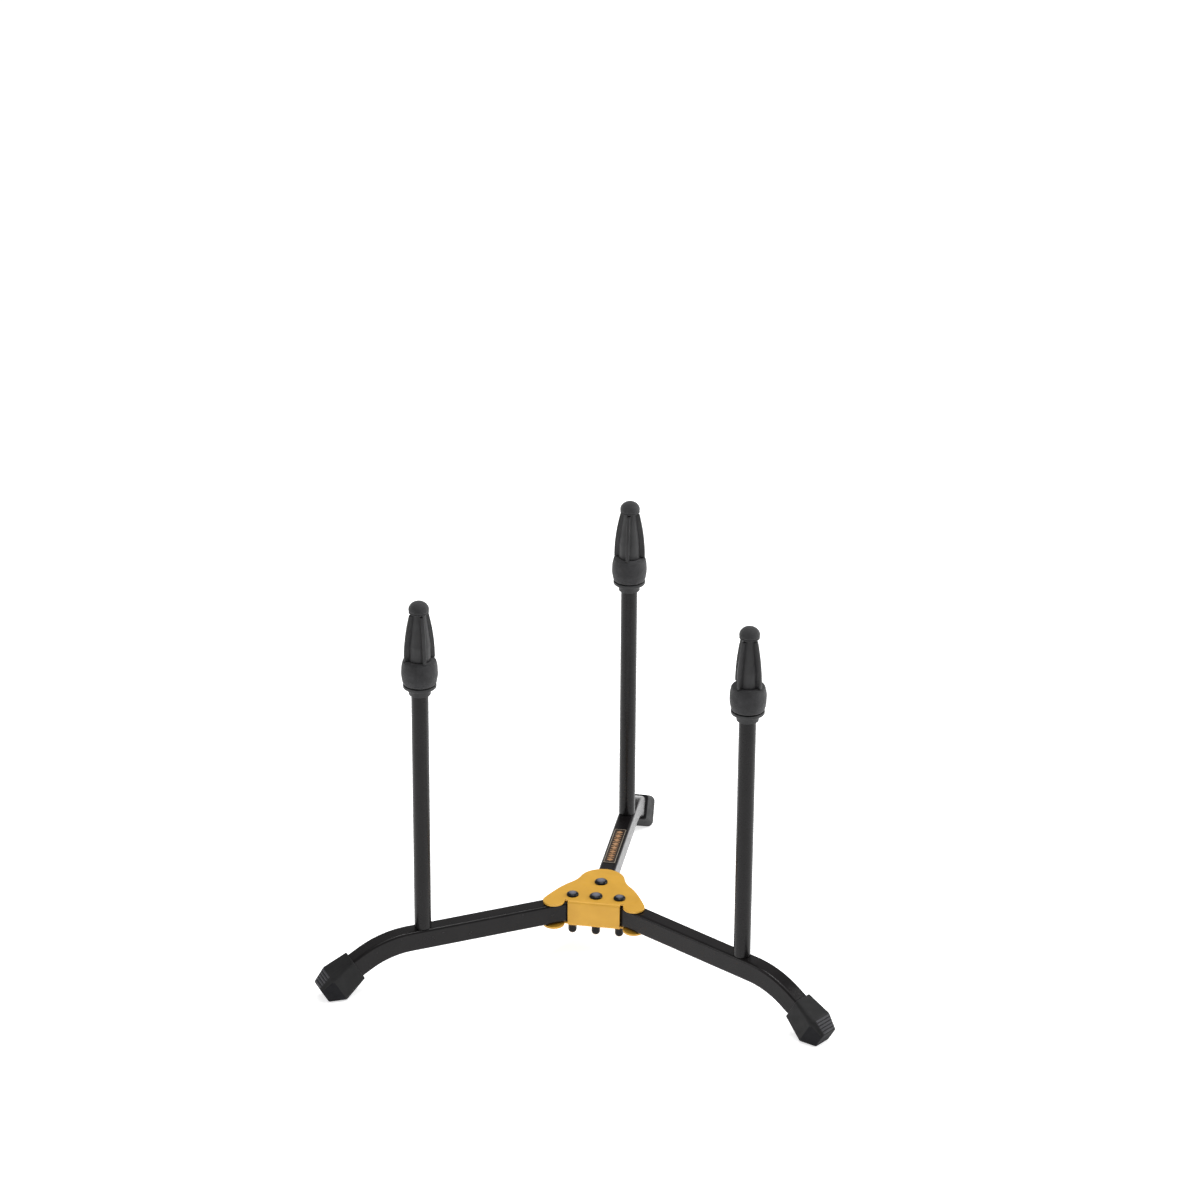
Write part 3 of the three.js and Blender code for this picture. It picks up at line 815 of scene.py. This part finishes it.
def post_tube(side):
    bore = POST_RADIUS - POST_WALL
    line = [(bore, POST_TOP / 2), (bore, POST_BOTTOM), (POST_RADIUS, POST_BOTTOM)]
    line += [(POST_RADIUS, POST_TOP), (bore, POST_TOP)]
    mesh = bmesh.new()
    lathe(mesh, soften(line + line[:1], 0.5), 96)
    node = f"post_tube_{side}"
    settle(add_object(f"{node}_look", mesh, post_place(side)), node, [POST_COAT])


def fin_outline():
    reach, top_reach, middle = FIN["reach"], FIN["top_reach"], (FIN["bottom"] + FIN["top"]) / 2
    right = curve((reach, FIN["bottom"]), (reach, middle), (top_reach, FIN["top"]), 12)
    return right + [(-x, z) for x, z in reversed(right)]


def peg_core(side):
    bore = POST_RADIUS + CLEARANCE
    flange_radius, flange_bottom, flange_top = (FLANGE[k] for k in ("radius", "bottom", "top"))
    stem = [
        (bore, PEG_BOTTOM + 2), (bore, PEG_BOTTOM), (PEG_SLEEVE_RADIUS, PEG_BOTTOM),
        (PEG_SLEEVE_RADIUS, flange_bottom), (flange_radius, flange_bottom), (flange_radius, flange_top),
        (PEG_SLEEVE_RADIUS, flange_top), (PEG_SLEEVE_RADIUS, PEG_BORE_TOP),
        (BOSS["radius"] + 2, SPIRE_TOP), (BOSS["radius"], SPIRE_TOP),
        (BOSS["radius"], BOSS["top"]), (0, BOSS["top"]),
    ]
    mesh = bmesh.new()
    lathe(mesh, [(0, PEG_BORE_TOP), (bore, PEG_BORE_TOP)] + soften(stem, 0.6))
    made = add_object(f"peg_core_{side}_look", mesh, post_place(side))
    fins = []
    for turn in (0, math.pi / 2):
        blade = bmesh.new()
        plate(blade, fin_outline(), -FIN["thickness"] / 2, FIN["thickness"] / 2)
        stand_up = Matrix.Rotation(turn, 4, "Z") @ Matrix.Rotation(math.pi / 2, 4, "X")
        fin = add_object("fin", blade, post_place(side) @ stand_up)
        round_edges(fin, FIN["edge"], angle=50, segments=4)
        apply_modifiers(fin)
        clear = bmesh.new()
        rod(clear, bore, PEG_BOTTOM, PEG_BORE_TOP, 48)
        cut_holes(fin, clear, post_place(side))
        fins.append(fin)
    join([made] + fins)
    settle(made, f"peg_core_{side}", [MOULDED], sharp=45)


def foam_ring(side):
    """The soft ring under the bell: a rolled strip of foam with a seam, a little out of round."""
    rows, columns = 30, 128
    middle, half_height = (PAD["bottom"] + PAD["top"]) / 2, (PAD["top"] - PAD["bottom"]) / 2
    bore = PEG_SLEEVE_RADIUS + CLEARANCE
    bulge = PAD["radius"] - PAD["end"]
    seam_at = math.pi / 3
    rings = []
    for row in range(rows + 1):
        sweep = -1 + 2 * row / rows
        edge = max(0, abs(sweep) - PAD["round_from"]) / (1 - PAD["round_from"])
        rounding = PAD["round_depth"] * (1 - math.sqrt(1 - edge ** 2))
        ring = []
        for i in range(columns):
            angle = math.tau * i / columns
            spot = Vector((math.cos(angle), math.sin(angle), sweep))
            wander = 0.22 * noise.noise(spot * 2.3) + 0.08 * noise.noise(spot * 14)
            from_seam = math.remainder(angle - seam_at, math.tau) / PAD["seam_width"]
            seam = PAD["seam_depth"] * math.exp(-(from_seam ** 2))
            swell = bulge * (1 - sweep ** 2) - PAD["set_in"]
            radius = PAD["end"] + swell + wander - seam - rounding
            height = middle + sweep * half_height
            ring.append((radius * math.cos(angle), radius * math.sin(angle), height))
        rings.append(ring)
    angles = [math.tau * i / columns for i in range(columns)]
    for z in (PAD["top"], PAD["bottom"]):
        rings.append([(bore * math.cos(a), bore * math.sin(a), z) for a in angles])
    mesh = bmesh.new()
    loft(mesh, rings + rings[:1])
    node = f"peg_pad_{side}"
    made = settle(add_object(f"{node}_look", mesh, post_place(side)), node, [FOAM], sharp=60)


def foam_tip(side):
    """The soft cap on the boss: a domed plug with a moulded groove round it."""
    bore = BOSS["radius"] + CLEARANCE
    bottom, rim = TIP["bottom"], TIP["bottom"] + TIP["straight"]
    low, high = bottom + TIP["groove_low"], bottom + TIP["groove_high"]
    foot, widest = TIP["radius"] - 0.2, TIP["radius"] - 0.05
    wall = [
        (bore, bottom + 2), (bore, bottom), (foot, bottom), (foot, low),
        (foot - TIP["groove_depth"], (low + high) / 2), (foot, high), (widest, rim),
    ]
    roof = BOSS["top"] + CLEARANCE
    mesh = bmesh.new()
    lathe(mesh, [(0, roof), (bore, roof)] + soften(wall, 0.4) + dome(widest, rim, TIP["top"], 16)[1:])
    for vertex in mesh.verts:
        if math.hypot(vertex.co.x, vertex.co.y) > bore + 1:
            vertex.co *= 1 + 0.0004 * noise.noise(vertex.co * 0.4)
    node = f"peg_tip_{side}"
    made = settle(add_object(f"{node}_look", mesh, post_place(side)), node, [FOAM], sharp=60)


# ---- Name plate: a dark strip with a pale border and a row of bronze lozenges and bars -----------

def label_border(half_length, half_width, top):
    """The thin raised frame round the strip."""
    outer_inset = LABEL["border_inset"]
    inner_inset = outer_inset + LABEL["border_width"]
    outer, inner = (
        rounded_rectangle(half_length - inset, -half_width + inset, half_width - inset, corner)
        for inset, corner in ((outer_inset, 0.8), (inner_inset, 0.4))
    )
    low, high = top - LABEL["sunk"], top + 0.1
    rings = [
        [(x, y, z) for x, y in outline]
        for outline, z in ((outer, low), (outer, high), (inner, high), (inner, low))
    ]
    mesh = bmesh.new()
    loft(mesh, rings + rings[:1])
    return mesh


def label_motif(top):
    """Raised lozenges in a row, with a bar between each two."""
    repeats, pitch, half_long, half_wide, half_bar = (
        MOTIF[k] for k in ("repeats", "pitch", "half_long", "half_wide", "half_bar")
    )
    low, high = top - LABEL["sunk"], top + 0.11
    upright = rounded_rectangle(half_bar, -half_wide, half_wide, half_bar * 0.6)
    mesh = bmesh.new()
    for i in range(repeats):
        x = (i - (repeats - 1) / 2) * pitch
        lozenge = [(x - half_long, 0), (x, -half_wide), (x + half_long, 0), (x, half_wide)]
        plate(mesh, lozenge, low, high)
        if i < repeats - 1:
            bar = x + pitch / 2
            plate(mesh, [(bar + along, across) for along, across in upright], low, high)
    return mesh


def label():
    place, _ = leg_place("rear")
    half_width, half_length = LABEL["width"] / 2, LABEL["length"] / 2
    top = GAP + LABEL["thickness"] - LABEL["raised"]
    panel = bmesh.new()
    outline = rounded_rectangle(half_length, -half_width, half_width, LABEL["corner"])
    plate(panel, outline, GAP, top)
    parts = []
    for name, mesh, material in (
        ("leg_label_look", panel, PANEL),
        ("border", label_border(half_length, half_width, top), BORDER_METAL),
        ("motif", label_motif(top), MOTIF_METAL),
    ):
        part = add_object(name, mesh, place @ Matrix.Translation((LABEL["centre"], 0, 0)))
        part.data.materials.append(material)
        parts.append(part)
    join(parts)
    settle(parts[0], "leg_label", [])


# ---- Studio --------------------------------------------------------------------------------------

def floor():
    """A wide pale sheet under the stand that glows a little, as a lit table does."""
    mesh = bmesh.new()
    reach = 30
    corners = [(-reach, -reach), (reach, -reach), (reach, reach), (-reach, reach)]
    plate(mesh, corners, -0.02, 0)
    made = add_object("floor", mesh, Matrix.Identity(4))
    material, tree, shader = shader_nodes("pale studio floor")
    drift = pattern(tree, "ShaderNodeTexNoise", 3, Detail=2)
    share = to_range(tree, drift.outputs["Fac"], 0, 1)
    pale = blend_colours(tree, share, (0.90, 0.90, 0.90), (0.88, 0.88, 0.885))
    tree.links.new(pale, shader.inputs["Base Color"])
    shader.inputs["Roughness"].default_value = 0.9
    shader.inputs["Specular IOR Level"].default_value = 0.1
    shader.inputs["Emission Color"].default_value = (1, 1, 1, 1)
    shader.inputs["Emission Strength"].default_value = 0.64
    made.data.materials.append(material)


def softbox(name, location, target, size, power):
    light = bpy.data.lights.new(name, "AREA")
    light.shape = "RECTANGLE"
    light.size, light.size_y = size
    light.energy = power
    made = bpy.data.objects.new(name, light)
    made.location = location
    made.rotation_euler = (Vector(target) - Vector(location)).to_track_quat("-Z", "Y").to_euler()
    bpy.context.scene.collection.objects.link(made)


def studio():
    world = bpy.data.worlds.new("studio")
    world.use_nodes = True
    background = world.node_tree.nodes["Background"]
    background.inputs["Color"].default_value = (1, 1, 1, 1)
    background.inputs["Strength"].default_value = 0.38
    bpy.context.scene.world = world
    softbox("overhead", (0.2, -0.3, 2.2), (0, 0, 0.1), (1.6, 1.6), 16.5)
    softbox("overhead strip", (0.1, 0.25, 2.3), (0, 0, 0.05), (1.1, 0.2), 15)
    softbox("left side", (-2.0, -1.0, 1.1), (0, 0, 0.15), (0.7, 1.8), 9)
    softbox("right side", (2.1, 0.75, 1.33), (0, 0, 0.05), (0.8, 1.4), 34)
    bpy.context.scene.view_settings.view_transform = "Standard"


def camera():
    """A long lens a little to the right of the stand's front and well above it."""
    pitch, yaw, roll = 0.4249, -0.16473, 0.00717
    hub = Vector((HUB_CENTRE.x, HUB_CENTRE.y, LEG_TOP))
    eye = hub + Vector((0.53646, -3.21668, 1.77993))
    ahead = Vector((math.sin(yaw) * math.cos(pitch), math.cos(yaw) * math.cos(pitch), -math.sin(pitch)))
    level = Vector((math.cos(yaw), -math.sin(yaw), 0))
    up = level.cross(ahead)
    right = level * math.cos(roll) + up * math.sin(roll)
    up = up * math.cos(roll) - level * math.sin(roll)
    lens = bpy.data.cameras.new("camera")
    lens.lens = 120
    lens.sensor_width = 36
    lens.clip_end = 80
    made = bpy.data.objects.new("camera", lens)
    turn = Matrix((right, up, -ahead)).transposed().to_4x4()
    made.matrix_world = Matrix.Translation(eye) @ turn
    bpy.context.scene.collection.objects.link(made)
    bpy.context.scene.camera = made


def build_stand():
    hub_bracket()
    for bolt in HEAD_RADIUS:
        coach_bolt(bolt)
        cap_nut(bolt)
        hub_rings(bolt)
    for side in SIDES:
        leg_tube(side)
        foot_boot(side)
        threaded_insert(side)
        post_stud(side)
        post_tube(side)
        peg_core(side)
        foam_ring(side)
        foam_tip(side)
    label()


camera()
studio()
floor()
build_stand()
